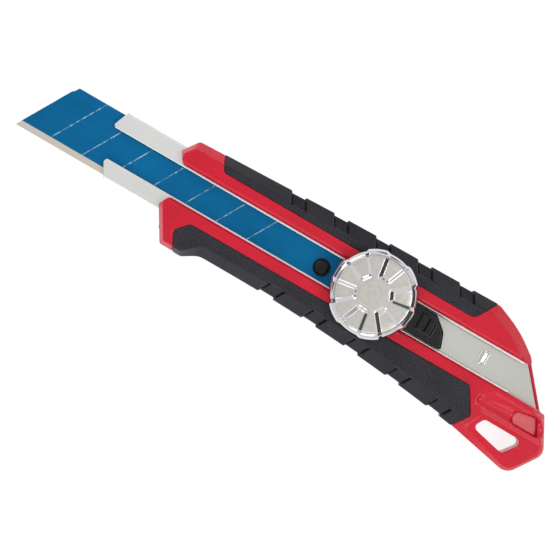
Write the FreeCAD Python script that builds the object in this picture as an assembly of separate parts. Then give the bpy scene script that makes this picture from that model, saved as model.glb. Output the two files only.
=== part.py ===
"""Snap-off utility knife with a screw-down lock wheel, as an assembly of separate pieces.

The knife lies on its back: the blade points to -X, the cutting edge faces -Y and the lock wheel
faces +Z.  Everything is modelled round the wheel's axis (x = 0, y = 0) and is moved at the end, so
that the exported origin is the middle of the bounding box at the bottom.  All sizes are millimetres.
"""

import FreeCAD, Part

import math
import os

V = FreeCAD.Vector
UP = V(0, 0, 1)

# Driving dimensions -------------------------------------------------------------------------------

# Segmented blade, of the common 18 mm size
BLADE_WIDTH = 18.0
BLADE_LENGTH = 100.85
BLADE_THICKNESS = 0.5
BLADE_TAIL_X = -11.95
BLADE_FIRST_SEGMENT = 9.6
BLADE_SEGMENT = 10.25
BLADE_SCORES = 7
BLADE_GROUND_WIDTH = 1.8
SNAP_STEP = 0.45
SNAP_STEP_WIDTH = 1.7
SCORE_ANGLE = 60.0
SCORE_WIDTH = 0.24
SCORE_DEPTH = 0.07

# Rail: a folded steel channel with two lips over the blade
RAIL_HALF_WIDTH = 10.0
RAIL_SHEET = 0.8
RAIL_INSIDE_HEIGHT = 2.0
RAIL_BEND = 0.9
LIP_HALF_GAP = 4.36
LIP_END_X = 47.4
LIP_CORNER_RADIUS = 1.1
STOP_X = 36.4
STOP_RADIUS = 2.6
STOP_HEIGHT = 0.45
STOP_HALF_LENGTH = 1.7
STOP_Y = 0.3
FRONT_STOP_X = -81.9
FRONT_STOP_Y = 4.0
FRONT_STOP_RADIUS = 1.0
FRONT_STOP_HEIGHT = 0.5

# Heights of the handle's levels
BACK_Z = 0.0
BACK_BEVEL = 1.3
SIDE_LOW_Z = 3.2
RAIL_Z = 5.0
SPLIT_Z = 6.2
SIDE_HIGH_Z = 9.2
CROWN_Z = 12.4

# Handle
CHANNEL_HALF_WIDTH = 4.93
CHANNEL_EDGE_RADIUS = 1.4
GRIP_PROUD = 0.15
GRIP_THICKNESS = 1.6
NOTCH_DEPTH = 0.5
NOTCH_REACH = 3.6
NOTCH_OUTSIDE = 3.0
SLIT_DEPTH = 1.1
SLIT_WIDTH = 0.5
SLIT_SET_BACK = 0.9
UPPER_NOTCHES = {"first_x": -32.4, "pitch": 13.66, "width": 4.5, "count": 5}
LOWER_NOTCHES = {"first_x": -26.4, "pitch": 14.47, "width": 4.9, "count": 5}
TAB_SINK = 1.4
LEDGE_SINK = 0.5
RIVET_X = (-52.0, -27.0)
RIVET_HEAD_RADIUS = 2.4
RIVET_HEAD_LOW_Z = 0.9
BACK_RIB_X = (-14.0, -10.0, -6.0, -2.0, 2.0, 6.0, 10.0)
SCREW_PLACES = [(-60.6, 11.3), (36.4, 11.5), (-61.6, -13.2), (42.9, -13.2)]
SCREW_SHANK_RADIUS = 0.8
SCREW_HEAD_RADIUS = 1.45
SCREW_HEAD_LOW_Z = 0.8
SCREW_HEAD_HIGH_Z = 1.7
SCREW_END_Z = 10.2
SCREW_RECESS_DEPTH = 0.5

# Slider
CLEARANCE = 0.05
DECK_HALF_WIDTH = 4.7
DECK_FRONT_X = -11.6
DECK_TOP_Z = 11.1
THUMB_HALF_WIDTH = 4.15
THUMB_TOP_Z = 12.0
THUMB_STEP = 0.45
PEG_X = -16.4
PEG_Y = -0.6
PEG_RADIUS = 2.15
PEG_NECK_RADIUS = 1.55
PEG_HOLE_RADIUS = 2.65

# Lock wheel and its screw
WHEEL_RADIUS = 13.0
WHEEL_BOTTOM_Z = 13.1
WHEEL_TOP_Z = 20.8
WHEEL_SECTORS = 12
WHEEL_FIRST_LOBE = 8.8
WHEEL_FACE_RADIUS = 11.05
WHEEL_DISC_RADIUS = 4.5
LOBE_SINK = 0.85
LOBE_INSET = 0.5
STUD_RADIUS = 2.5
THREAD_PITCH = 0.8
WASHER_THICKNESS = 0.5

# Heights that follow from the driving dimensions
BASE_TOP_Z = RAIL_Z + RAIL_SHEET
LIP_BOTTOM_Z = BASE_TOP_Z + RAIL_INSIDE_HEIGHT
LIP_TOP_Z = LIP_BOTTOM_Z + RAIL_SHEET
HOLDER_BOTTOM_Z = BASE_TOP_Z + 0.1
SPRING_TOP_Z = BASE_TOP_Z + 0.6
BLADE_Z = HOLDER_BOTTOM_Z + 0.6
NUT_ROOM_TOP_Z = LIP_TOP_Z + 1.6
CLIP_THICKNESS = 0.5

# Outlines: each corner is (x, y, corner radius), clockwise from the upper nose ---------------------

HANDLE_SIDE = [
    (-67.8, 8.2, 1.2),
    (-64.4, 13.05, 1.5),
    (-12.2, 14.85, 700.0),
    (33.4, 15.5, 2.0),
    (41.75, 12.05, 35.0),
    (48.0, 7.45, 3.0),
    (58.6, -5.15, 0.4),
    (59.8, -5.15, 0.6),
    (65.3, -15.2, 3.5),
    (58.6, -25.2, 4.0),
    (38.3, -21.05, 5.0),
    (-0.85, -15.27, 520.0),
    (-48.6, -15.27, 6.0),
    (-53.0, -18.0, 1.2),
    (-60.0, -17.9, 1.0),
    (-66.0, -7.9, 1.4),
]
HANDLE_CREST = [
    (-66.4, 8.0, 0.9),
    (-64.5, 10.5, 1.0),
    (-12.2, 10.8, 700.0),
    (32.6, 12.3, 2.0),
    (40.4, 9.4, 30.0),
    (45.8, 5.6, 2.0),
    (56.6, -6.6, 0.4),
    (58.9, -6.6, 0.6),
    (63.5, -15.2, 2.6),
    (57.8, -23.6, 3.0),
    (38.7, -16.6, 5.0),
    (-0.85, -12.0, 500.0),
    (-48.9, -12.2, 5.0),
    (-53.8, -16.6, 0.9),
    (-59.3, -16.7, 0.8),
    (-64.6, -7.8, 1.2),
]
UPPER_GRIP_PLAN = [
    (-57.4, 16.0, 0.0),
    (-54.1, 8.85, 1.4),
    (28.4, 8.7, 2.6),
    (33.3, 17.0, 0.0),
]
LOWER_GRIP_PLAN = [
    (-55.0, -8.75, 2.6),
    (-58.3, -12.6, 1.4),
    (-54.4, -20.3, 0.0),
    (-54.4, -23.0, 0.0),
    (36.8, -23.0, 0.0),
    (41.4, -15.9, 1.4),
    (36.7, -8.5, 1.2),
]
CHANNEL_PLAN = [
    (-65.4, CHANNEL_HALF_WIDTH, 1.4),
    (48.3, CHANNEL_HALF_WIDTH, 1.2),
    (50.4, 6.4, 0.0),
    (70.0, 6.4, 0.0),
    (70.0, -CHANNEL_HALF_WIDTH, 0.0),
    (-64.0, -CHANNEL_HALF_WIDTH, 1.4),
    (-67.2, -10.4, 0.0),
    (-74.0, -10.4, 0.0),
    (-74.0, 10.8, 0.0),
    (-69.4, 10.8, 0.0),
]
RAIL_PLAN = [
    (-85.9, 11.0, 0.0),
    (40.2, 11.0, 0.0),
    (47.5, 6.4, 0.5),
    (57.5, -5.3, 0.5),
    (52.0, -11.0, 0.0),
    (-82.6, -11.0, 0.0),
    (-86.3, -4.8, 0.8),
    (-88.2, 5.0, 1.0),
]
LANYARD_HOLE = [
    (45.5, -14.8, 1.4),
    (58.7, -14.9, 1.4),
    (54.3, -20.8, 0.9),
    (43.6, -18.35, 1.3),
]
LEDGE_TOP = [
    (40.3, -10.8, 0.0),
    (44.3, -6.4, 0.6),
    (70.0, -6.4, 0.0),
    (70.0, -11.5, 0.0),
    (41.6, -11.5, 0.0),
]
LEDGE_FLOOR = [
    (41.1, -11.0, 0.0),
    (44.9, -7.0, 0.6),
    (70.0, -7.0, 0.0),
    (70.0, -11.5, 0.0),
    (42.4, -11.5, 0.0),
]
TAB_TOP = [
    (41.6, -11.4, 1.5),
    (70.0, -11.4, 0.0),
    (70.0, -30.0, 0.0),
    (38.0, -30.0, 0.0),
    (36.5, -19.0, 2.0),
]
TAB_FLOOR = [
    (44.2, -13.6, 1.5),
    (70.0, -13.6, 0.0),
    (70.0, -30.0, 0.0),
    (46.0, -30.0, 0.0),
    (42.0, -19.0, 2.0),
]
THUMB_PLAN = [
    (8.0, THUMB_HALF_WIDTH, 0.0),
    (18.9, THUMB_HALF_WIDTH, 0.8),
    (22.9, 0.8, 3.0),
    (24.8, -THUMB_HALF_WIDTH, 0.6),
    (8.0, -THUMB_HALF_WIDTH, 0.0),
]


# Shape helpers ------------------------------------------------------------------------------------


def corner_arc(before, here, after, radius):
    """Start, middle and end of the arc that rounds the corner at here."""
    to_before = (before - here).normalize()
    to_after = (after - here).normalize()
    half_angle = to_before.getAngle(to_after) / 2
    reach = radius / math.tan(half_angle)
    bisector = (to_before + to_after).normalize()
    centre = here + bisector * (radius / math.sin(half_angle))
    return here + to_before * reach, centre - bisector * radius, here + to_after * reach


def rounded_wire(corners, z=0.0):
    """Closed wire of lines and tangent arcs through (x, y, radius) corners."""
    points = [V(x, y, z) for x, y, _ in corners]
    count = len(corners)
    arcs = []
    for i, (_, _, radius) in enumerate(corners):
        if radius > 0:
            arcs.append(corner_arc(points[i - 1], points[i], points[(i + 1) % count], radius))
        else:
            arcs.append((points[i], None, points[i]))
    edges = []
    for i, (start, middle, end) in enumerate(arcs):
        edges.append(Part.LineSegment(arcs[i - 1][2], start).toShape())
        if middle is not None:
            edges.append(Part.Arc(start, middle, end).toShape())
    return Part.Wire(edges)


def prism(corners, low_z, high_z):
    """Straight block with a rounded polygon as its plan."""
    return Part.Face(rounded_wire(corners, low_z)).extrude(V(0, 0, high_z - low_z))


def block(x, y, z):
    """Box from three (low, high) pairs."""
    return Part.makeBox(x[1] - x[0], y[1] - y[0], z[1] - z[0], V(x[0], y[0], z[0]))


def cylinder(radius, low_z, high_z, x=0.0, y=0.0):
    return Part.makeCylinder(radius, high_z - low_z, V(x, y, low_z), UP)


def turned(profile):
    """Solid turned about the Z axis from (radius, z) points."""
    points = [V(radius, 0, z) for radius, z in profile]
    return Part.Face(Part.makePolygon(points + points[:1])).revolve(V(0, 0, 0), UP, 360)


def along_x(wire, low_x, high_x):
    """Extrudes a wire drawn as (y, z) in the XY plane along X."""
    face = Part.Face(wire)
    face.Placement = FreeCAD.Placement(V(low_x, 0, 0), FreeCAD.Rotation(V(1, 1, 1), 120))
    return face.extrude(V(high_x - low_x, 0, 0))


def grown(corners, distance):
    """The same outline with every side moved outwards by distance (clockwise corners)."""
    moved = []
    count = len(corners)
    for i, (x, y, radius) in enumerate(corners):
        here = V(x, y, 0)
        into = (here - V(*corners[i - 1][:2], 0)).normalize()
        out = (V(*corners[(i + 1) % count][:2], 0) - here).normalize()
        normal_in, normal_out = V(-into.y, into.x, 0), V(-out.y, out.x, 0)
        shift = (normal_in + normal_out) * (distance / (1 + normal_in.dot(normal_out)))
        convex = into.cross(out).z < 0
        moved.append((x + shift.x, y + shift.y, max(0.2, radius + (distance if convex else -distance))))
    return moved


def handle_slab(distance):
    """The whole handle's bevelled outer form, with every face moved out by distance."""
    side, crest = grown(HANDLE_SIDE, distance), grown(HANDLE_CREST, distance)
    back = grown(HANDLE_SIDE, distance - BACK_BEVEL)
    wires = [
        rounded_wire(back, BACK_Z - distance),
        rounded_wire(side, SIDE_LOW_Z),
        rounded_wire(side, SIDE_HIGH_Z),
        rounded_wire(crest, CROWN_Z + distance),
    ]
    return Part.makeLoft(wires, True, True)


def sunk_pocket(top, bottom, depth):
    """Cutter for a pocket with sloping walls, sunk by depth into the handle's crown."""
    walls = Part.makeLoft([rounded_wire(top, CROWN_Z), rounded_wire(bottom, CROWN_Z - depth)], True, True)
    return walls.fuse(prism(top, CROWN_Z, 20))


# Handle -------------------------------------------------------------------------------------------


def slanted_block(middle_x, width, side_y, inward, outside):
    """Upright block that leans back from the handle's side at middle_x; inward is +1 or -1 in Y."""
    slant = 1 / math.tan(math.radians(SCORE_ANGLE))
    outer_y = side_y(middle_x) - outside * inward
    inner_y = side_y(middle_x) + NOTCH_REACH * inward
    outer_x = middle_x - slant * outside
    inner_x = middle_x + slant * NOTCH_REACH
    plan = [
        (outer_x - width / 2, outer_y, 0.0),
        (outer_x + width / 2, outer_y, 0.0),
        (inner_x + width / 2, inner_y, width * 0.16),
        (inner_x - width / 2, inner_y, width * 0.16),
    ]
    return prism(plan, -5, 20)


def upper_side_y(x):
    """Upper edge of the handle at x."""
    return 14.85 + (0.0345 if x < -12.2 else 0.0142) * (x + 12.2)


def lower_side_y(x):
    """Lower edge of the handle at x: flat, then an arc that drops towards the rear."""
    return -15.27 - max(0.0, x + 39.5) ** 2 / (2 * 520.0)


def grip(plan, notches, side_y, inward, slabs):
    """Rubber grip that wraps round one side of the handle."""
    region = prism(plan, -5, 20)
    skin = slabs["rubber"].cut(slabs["core"]).common(region)
    for i in range(notches["count"]):
        middle = notches["first_x"] + i * notches["pitch"]
        notch = slanted_block(middle, notches["width"], side_y, inward, NOTCH_OUTSIDE)
        skin = skin.cut(notch.cut(slabs["notch_floor"]))
        for edge_x in (middle - notches["width"] / 2, middle + notches["width"] / 2):
            slit = slanted_block(edge_x, SLIT_WIDTH, side_y, inward, -SLIT_SET_BACK)
            skin = skin.cut(slit.cut(slabs["slit_floor"]))
    return skin


def scoop():
    """Shallow trough that deepens towards the tab's rear edge, with a flat ramp at its end."""
    radius, nose_x, nose_y = 2.6, 41.0, -10.5
    surface = CROWN_Z - LEDGE_SINK
    start = V(nose_x, nose_y, surface + radius)
    end = V(59.0, -9.6, surface + 1.2)
    direction = (end - start).normalize()
    trough = Part.makeCylinder(radius, 30, start, direction)
    ramp_plan = [(51.7, -7.9, 1.8), (58.2, -6.9, 0.0), (61.1, -12.1, 0.0), (51.7, -12.1, 1.8)]
    slope = [V(51, 0, surface - 0.8), V(66, 0, surface - 4.2), V(66, 0, 20), V(51, 0, 20)]
    above = Part.Face(Part.makePolygon(slope + slope[:1])).extrude(V(0, -20, 0))
    return trough.fuse(prism(ramp_plan, surface - 6, 20).common(above))


def back_recess():
    """Shallow panel with low ribs, sunk in the back of the handle between the grips."""
    plan = [(-56.0, 5.8, 2.0), (29.0, 5.8, 2.0), (33.0, -5.8, 2.0), (-56.0, -5.8, 2.0)]
    ribs = [block((x, x + 1.4), (-4.4, 4.4), (-1.0, 2.0)) for x in BACK_RIB_X]
    return prism(plan, -1.0, BACK_Z + 0.6).cut(Part.makeCompound(ribs))


def channel():
    """Slot between the two arms, with its upper edges rounded."""
    slot = prism(CHANNEL_PLAN, BASE_TOP_Z, 20)
    radius, top = CHANNEL_EDGE_RADIUS, CROWN_Z
    for side in (-1, 1):
        inner, outer = side * (CHANNEL_HALF_WIDTH - 0.5), side * (CHANNEL_HALF_WIDTH + radius)
        wall = side * CHANNEL_HALF_WIDTH
        middle_y = outer - side * radius * math.sqrt(0.5)
        middle_z = top - radius + radius * math.sqrt(0.5)
        round_edge = Part.Arc(V(wall, top - radius, 0), V(middle_y, middle_z, 0), V(outer, top, 0))
        rest = [
            (outer, top),
            (outer, top + 1),
            (inner, top + 1),
            (inner, top - radius),
            (wall, top - radius),
        ]
        edges = [round_edge.toShape()]
        for start, end in zip(rest, rest[1:]):
            edges.append(Part.LineSegment(V(*start, 0), V(*end, 0)).toShape())
        slot = slot.fuse(along_x(Part.Wire(edges), -75, 70))
    return slot


def handle_form(slabs):
    """The moulded handle before it is parted: arms, nose guards, rear fin and lanyard tab."""
    form = slabs["body"]
    for plan in (UPPER_GRIP_PLAN, LOWER_GRIP_PLAN):
        form = form.cut(slabs["outside"].common(prism(plan, -5, 20)))
    cutters = [
        channel(),
        sunk_pocket(LEDGE_TOP, LEDGE_FLOOR, LEDGE_SINK),
        sunk_pocket(TAB_TOP, TAB_FLOOR, TAB_SINK),
        scoop(),
        prism(LANYARD_HOLE, -5, 20),
        back_recess(),
        rail_form(),
    ]
    for cutter in cutters:
        form = form.cut(cutter)
    return form


def handle_shells(slabs, rivets, screws):
    """Back shell and the two front covers, parted at the mould line."""
    form = handle_form(slabs)
    low = block((-120, 120), (-60, 60), (-10, SPLIT_Z))
    back = form.common(low)
    for cutter in (rivets, screws, head_wells()):
        back = back.cut(cutter)
    front = form.cut(low).cut(screws)
    upper, lower = sorted(front.Solids, key=lambda solid: -solid.CenterOfMass.y)
    return max(back.Solids, key=lambda solid: solid.Volume), upper, lower


def head_wells():
    """Open wells in the back shell, down to the heads of the screws and rivets."""
    depth = SCREW_HEAD_LOW_Z + SCREW_RECESS_DEPTH
    wells = [cylinder(SCREW_HEAD_RADIUS, -1.0, depth, x, y) for x, y in SCREW_PLACES]
    wells += [cylinder(RIVET_HEAD_RADIUS, -1.0, RIVET_HEAD_LOW_Z, x) for x in RIVET_X]
    return Part.makeCompound(wells)


def handle_screws():
    """Four small screws from the back, with crossed slots in their heads."""
    low, seat = SCREW_HEAD_LOW_Z, SCREW_HEAD_HIGH_Z
    profile = [
        (0.0, low),
        (SCREW_HEAD_RADIUS - 0.2, low),
        (SCREW_HEAD_RADIUS, low + 0.2),
        (SCREW_HEAD_RADIUS, seat),
        (SCREW_SHANK_RADIUS, seat),
        (SCREW_SHANK_RADIUS, SCREW_END_Z - 0.6),
        (0.2, SCREW_END_Z),
        (0.0, SCREW_END_Z),
    ]
    screw = turned(profile)
    for long_x, long_y in ((0.85, 0.17), (0.17, 0.85)):
        recess = block((-long_x, long_x), (-long_y, long_y), (low - 1, low + SCREW_RECESS_DEPTH))
        screw = screw.cut(recess)
    return Part.makeCompound([screw.translated(V(x, y, 0)) for x, y in SCREW_PLACES])


def rail_form():
    """Space that the rail takes up in the handle."""
    envelope = block((-100, 100), (-RAIL_HALF_WIDTH, RAIL_HALF_WIDTH), (RAIL_Z, LIP_TOP_Z))
    return envelope.common(prism(RAIL_PLAN, RAIL_Z - 1, LIP_TOP_Z + 1))


def rail(rivets):
    """Folded channel with lips, a slanting rear end and a raised stop for the slider."""
    half, inner, bend = RAIL_HALF_WIDTH, RAIL_HALF_WIDTH - RAIL_SHEET, RAIL_BEND
    section = [
        (-LIP_HALF_GAP, LIP_BOTTOM_Z, 0.0),
        (-LIP_HALF_GAP, LIP_TOP_Z, 0.3),
        (-half, LIP_TOP_Z, bend),
        (-half, RAIL_Z, bend),
        (half, RAIL_Z, bend),
        (half, LIP_TOP_Z, bend),
        (LIP_HALF_GAP, LIP_TOP_Z, 0.3),
        (LIP_HALF_GAP, LIP_BOTTOM_Z, 0.0),
        (inner, LIP_BOTTOM_Z, 0.2),
        (inner, BASE_TOP_Z, 0.2),
        (-inner, BASE_TOP_Z, 0.2),
        (-inner, LIP_BOTTOM_Z, 0.2),
    ]
    folded = along_x(rounded_wire(section), -95, 65)
    folded = folded.common(prism(RAIL_PLAN, RAIL_Z - 1, LIP_TOP_Z + 1)).common(lip_limits())
    folded = folded.cut(block((LIP_END_X, 70), (-11, 11), (BASE_TOP_Z, LIP_TOP_Z + 1)))
    low_y, high_y = STOP_Y - STOP_HALF_LENGTH, STOP_Y + STOP_HALF_LENGTH
    bump_z = BASE_TOP_Z + STOP_HEIGHT - STOP_RADIUS
    bump = Part.makeCylinder(STOP_RADIUS, high_y - low_y, V(STOP_X, low_y, bump_z), V(0, 1, 0))
    folded = folded.fuse(bump.common(block((STOP_X - 3, STOP_X + 3), (-5, 5), (RAIL_Z + 0.2, 9))))
    for end_y in (low_y - 0.2, high_y + 0.2):
        folded = folded.cut(cylinder(0.42, RAIL_Z + 0.25, LIP_TOP_Z, STOP_X + 0.4, end_y))
    ball = (FRONT_STOP_RADIUS**2 + FRONT_STOP_HEIGHT**2) / (2 * FRONT_STOP_HEIGHT)
    for side in (-1, 1):
        centre = V(FRONT_STOP_X, side * FRONT_STOP_Y, BASE_TOP_Z + FRONT_STOP_HEIGHT - ball)
        dimple = Part.makeSphere(ball, centre)
        folded = folded.fuse(dimple.common(block((-90, -70), (-6, 6), (BASE_TOP_Z - 0.1, 9))))
    return folded.cut(rivets).removeSplitter()


def lip_limits():
    """Everything below the lips, and the plans of the two lips with their front corners rounded."""
    upper = [
        (-88.05, LIP_HALF_GAP - 0.01, LIP_CORNER_RADIUS),
        (-88.05, 12.0, 0.0),
        (70.0, 12.0, 0.0),
        (70.0, LIP_HALF_GAP - 0.01, 0.0),
    ]
    lower = [
        (-86.3, 0.01 - LIP_HALF_GAP, LIP_CORNER_RADIUS),
        (70.0, 0.01 - LIP_HALF_GAP, 0.0),
        (70.0, -12.0, 0.0),
        (-81.8, -12.0, 0.0),
    ]
    below = block((-100, 70), (-12, 12), (RAIL_Z - 1, LIP_BOTTOM_Z - 0.2))
    lips = [prism(plan, LIP_BOTTOM_Z - 0.2, LIP_TOP_Z + 1) for plan in (upper, lower)]
    return below.fuse(lips)


def rail_rivets():
    """Two rivets, flush with the rail's floor, that hold it in the back shell."""
    profile = [
        (0.0, RIVET_HEAD_LOW_Z),
        (RIVET_HEAD_RADIUS, RIVET_HEAD_LOW_Z),
        (RIVET_HEAD_RADIUS, RIVET_HEAD_LOW_Z + 1.0),
        (1.5, RIVET_HEAD_LOW_Z + 1.0),
        (1.5, RAIL_Z + 0.1),
        (2.2, BASE_TOP_Z),
        (0.0, BASE_TOP_Z),
    ]
    rivet = turned(profile)
    return Part.makeCompound([rivet.translated(V(x, 0, 0)) for x in RIVET_X])


# Blade and slider ---------------------------------------------------------------------------------


def blade():
    """Segmented blade: slanting tip, ground edge, score lines on its face and a hole in its tail."""
    half, low, high = BLADE_WIDTH / 2, BLADE_Z, BLADE_Z + BLADE_THICKNESS
    slant = BLADE_WIDTH / math.tan(math.radians(SCORE_ANGLE))
    tip_x = BLADE_TAIL_X - BLADE_LENGTH
    ground_y = BLADE_GROUND_WIDTH - half
    middle = (low + high) / 2
    section = [
        (-half, middle - 0.02),
        (ground_y, low),
        (half, low),
        (half, high),
        (ground_y, high),
        (-half, middle + 0.02),
    ]
    points = [V(y, z, 0) for y, z in section]
    strip = along_x(Part.makePolygon(points + points[:1]), tip_x, BLADE_TAIL_X)
    step_y = half - SNAP_STEP_WIDTH
    step_x = tip_x + slant * (step_y + half) / BLADE_WIDTH
    plan = [
        (tip_x, -half, 0.0),
        (step_x, step_y, 0.0),
        (step_x + SNAP_STEP, step_y + 0.2, 0.0),
        (tip_x + slant + SNAP_STEP, half, 0.0),
        (BLADE_TAIL_X - 0.6, half, 0.0),
        (BLADE_TAIL_X, half - 0.6, 0.0),
        (BLADE_TAIL_X, 0.6 - half, 0.0),
        (BLADE_TAIL_X - 0.6, -half, 0.0),
    ]
    strip = strip.common(prism(plan, low - 1, high + 1))
    strip = strip.cut(cylinder(PEG_HOLE_RADIUS, low - 1, high + 1, PEG_X, PEG_Y))
    for i in range(BLADE_SCORES):
        strip = strip.cut(score_cutter(tip_x + BLADE_FIRST_SEGMENT + i * BLADE_SEGMENT, half, slant, high))
    return strip


def score_cutter(edge_x, half, slant, top_z):
    """V-shaped cutter for one score line, from the cutting edge to the spine."""
    wide, deep = SCORE_WIDTH / 2, SCORE_DEPTH
    ends = []
    for x, y in ((edge_x - slant * 0.05, -half * 1.1), (edge_x + slant * 1.05, half * 1.1)):
        corners = [V(x - wide, y, top_z + 0.001), V(x + wide, y, top_z + 0.001), V(x, y, top_z - deep)]
        ends.append(Part.makePolygon(corners + corners[:1]))
    return Part.makeLoft(ends, True, True)


def blade_holder():
    """Lower carriage: a foot under the lips and a tongue under the blade's tail."""
    foot = prism(
        [(-12.3, 8.9, 0.6), (-6.2, 8.9, 0.6), (-6.2, -8.9, 0.6), (-12.3, -8.9, 0.6)],
        HOLDER_BOTTOM_Z,
        LIP_BOTTOM_Z - CLEARANCE,
    )
    tongue = prism(
        [(-22.6, 5.0, 1.5), (-12.0, 7.4, 0.0), (-12.0, -7.4, 0.0), (-22.6, -6.2, 1.5)],
        HOLDER_BOTTOM_Z,
        BLADE_Z - CLEARANCE,
    )
    slot = block((-10.9, -7.9), (-4.1, 4.1), (LIP_BOTTOM_Z - 0.9, LIP_TOP_Z))
    spring_room = block((-11.4, -7.2), (-7.6, 7.6), (HOLDER_BOTTOM_Z - 1, SPRING_TOP_Z + CLEARANCE))
    peg_hole = cylinder(PEG_NECK_RADIUS, 0, 20, PEG_X, PEG_Y)
    blade_seat = block(
        (-12.4, BLADE_TAIL_X + CLEARANCE),
        (-9.2, 9.2),
        (BLADE_Z - CLEARANCE, LIP_BOTTOM_Z + 1),
    )
    holder = foot.fuse(tongue)
    for cutter in (slot, spring_room, peg_hole, blade_seat):
        holder = holder.cut(cutter)
    return holder.removeSplitter()


def leaf_spring():
    """Bowed strip under the carriage; its ends run on the rail's floor."""
    low, high, half = BASE_TOP_Z + 0.03, SPRING_TOP_Z, 7.2
    thickness = 0.22
    lower_arc = Part.Arc(V(-half, low, 0), V(0, high - thickness, 0), V(half, low, 0)).toShape()
    upper_arc = Part.Arc(V(-half, low + thickness, 0), V(0, high, 0), V(half, low + thickness, 0)).toShape()
    ends = [
        Part.LineSegment(V(side * half, low, 0), V(side * half, low + thickness, 0)).toShape()
        for side in (-1, 1)
    ]
    outline = Part.Wire(Part.__sortEdges__([lower_arc, ends[1], upper_arc, ends[0]]))
    return along_x(outline, -11.1, -7.5)


def blade_peg():
    """Domed peg that stands in the holder's tongue and carries the blade by its hole."""
    top = LIP_TOP_Z
    neck, seat = PEG_NECK_RADIUS, BLADE_Z - CLEARANCE
    profile = [
        (0.0, HOLDER_BOTTOM_Z),
        (neck, HOLDER_BOTTOM_Z),
        (neck, seat),
        (PEG_RADIUS, seat),
        (PEG_RADIUS, top - 0.5),
        (PEG_RADIUS - 0.2, top - 0.15),
        (PEG_RADIUS - 0.6, top),
        (0.0, top),
    ]
    return turned(profile).translated(V(PEG_X, PEG_Y, 0))


def thumb_step():
    """Raised step on the thumb pad, with bevelled ends and a groove across its middle."""
    top = THUMB_TOP_Z + THUMB_STEP
    plan = [(15.1, 3.0, 0.0), (17.6, 3.0, 0.0), (20.0, 1.2, 0.0), (20.0, -2.4, 0.0), (15.1, -2.4, 0.0)]
    step = prism(plan, THUMB_TOP_Z - 0.3, top)
    step = step.makeChamfer(THUMB_STEP * 0.7, [e for e in step.Edges if e.BoundBox.ZMin > top - 0.01])
    return step.cut(block((17.2, 17.9), (-1.9, 2.4), (THUMB_TOP_Z - 0.2, top + 1)))


def slider_body():
    """Black upper slide: a deck on the lips under the wheel and a thumb pad behind it."""
    deck_bottom = LIP_TOP_Z + CLEARANCE
    deck = prism(
        [
            (DECK_FRONT_X, DECK_HALF_WIDTH, 0.8),
            (11.0, DECK_HALF_WIDTH, 0.0),
            (11.0, -DECK_HALF_WIDTH, 0.0),
            (DECK_FRONT_X, -DECK_HALF_WIDTH, 0.8),
        ],
        deck_bottom,
        DECK_TOP_Z,
    )
    thumb = prism(THUMB_PLAN, BASE_TOP_Z + 1.4, THUMB_TOP_Z)
    thumb = thumb.makeChamfer(
        0.45,
        [e for e in thumb.Edges if e.BoundBox.ZMin > THUMB_TOP_Z - 0.01 and e.BoundBox.XMax > 8.1],
    )
    groove = block((17.2, 17.9), (-1.9, 2.4), (THUMB_TOP_Z - 0.4, THUMB_TOP_Z + 1))
    body = deck.fuse(thumb.fuse(thumb_step()).cut(groove))
    body = body.fuse(block((-10.85, -7.95), (-4.05, 4.05), (LIP_BOTTOM_Z - 0.85, deck_bottom + 0.2)))
    body = body.cut(block((-5.2, 5.2), (-4.2, 4.2), (BASE_TOP_Z, NUT_ROOM_TOP_Z)))
    return body.cut(cylinder(STUD_RADIUS + 0.08, 0, 20)).removeSplitter()


# Lock: wheel, stud, nut and washers ----------------------------------------------------------------


def clamp_nut():
    """Nut whose wide foot grips the lips from below; its boss moves with the slider."""
    top = LIP_BOTTOM_Z - CLEARANCE
    foot = prism(
        [(-4.9, 8.5, 1.0), (4.6, 8.5, 1.0), (4.6, -8.5, 1.0), (-4.9, -8.5, 1.0)],
        top - 1.0,
        top,
    )
    boss = prism(
        [(-4.9, 4.0, 0.5), (4.6, 4.0, 0.5), (4.6, -4.0, 0.5), (-4.9, -4.0, 0.5)],
        top - 0.5,
        NUT_ROOM_TOP_Z - CLIP_THICKNESS - 0.25,
    )
    return foot.fuse(boss).cut(cylinder(STUD_RADIUS + CLEARANCE, 0, 20)).removeSplitter()


def lock_stud():
    """Threaded stud whose head is cast into the wheel; the thread is shown as rings."""
    low, head_z, top = BASE_TOP_Z + 0.15, 15.0, 18.4
    root = STUD_RADIUS - 0.4
    clip_z = NUT_ROOM_TOP_Z - CLEARANCE - CLIP_THICKNESS
    profile = [(0.0, low), (root, low)]
    turns = int((clip_z - low) / THREAD_PITCH)
    for i in range(turns):
        z = low + i * THREAD_PITCH
        profile += [(STUD_RADIUS, z + THREAD_PITCH * 0.35), (STUD_RADIUS, z + THREAD_PITCH * 0.5)]
        profile.append((root, z + THREAD_PITCH * 0.85))
    profile += [
        (root, clip_z + CLIP_THICKNESS),
        (STUD_RADIUS, clip_z + CLIP_THICKNESS),
        (STUD_RADIUS, head_z),
        (4.0, head_z),
        (4.0, top),
        (0.0, top),
    ]
    return turned(profile)


def stud_clip():
    """Open retaining ring in the stud's groove, just under the slider's deck."""
    low = NUT_ROOM_TOP_Z - CLEARANCE - CLIP_THICKNESS
    ring = cylinder(3.6, low, low + CLIP_THICKNESS).cut(cylinder(STUD_RADIUS - 0.4, low - 1, low + 2))
    return ring.cut(block((0, 6), (-1.2, 1.2), (low - 1, low + 2)))


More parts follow.
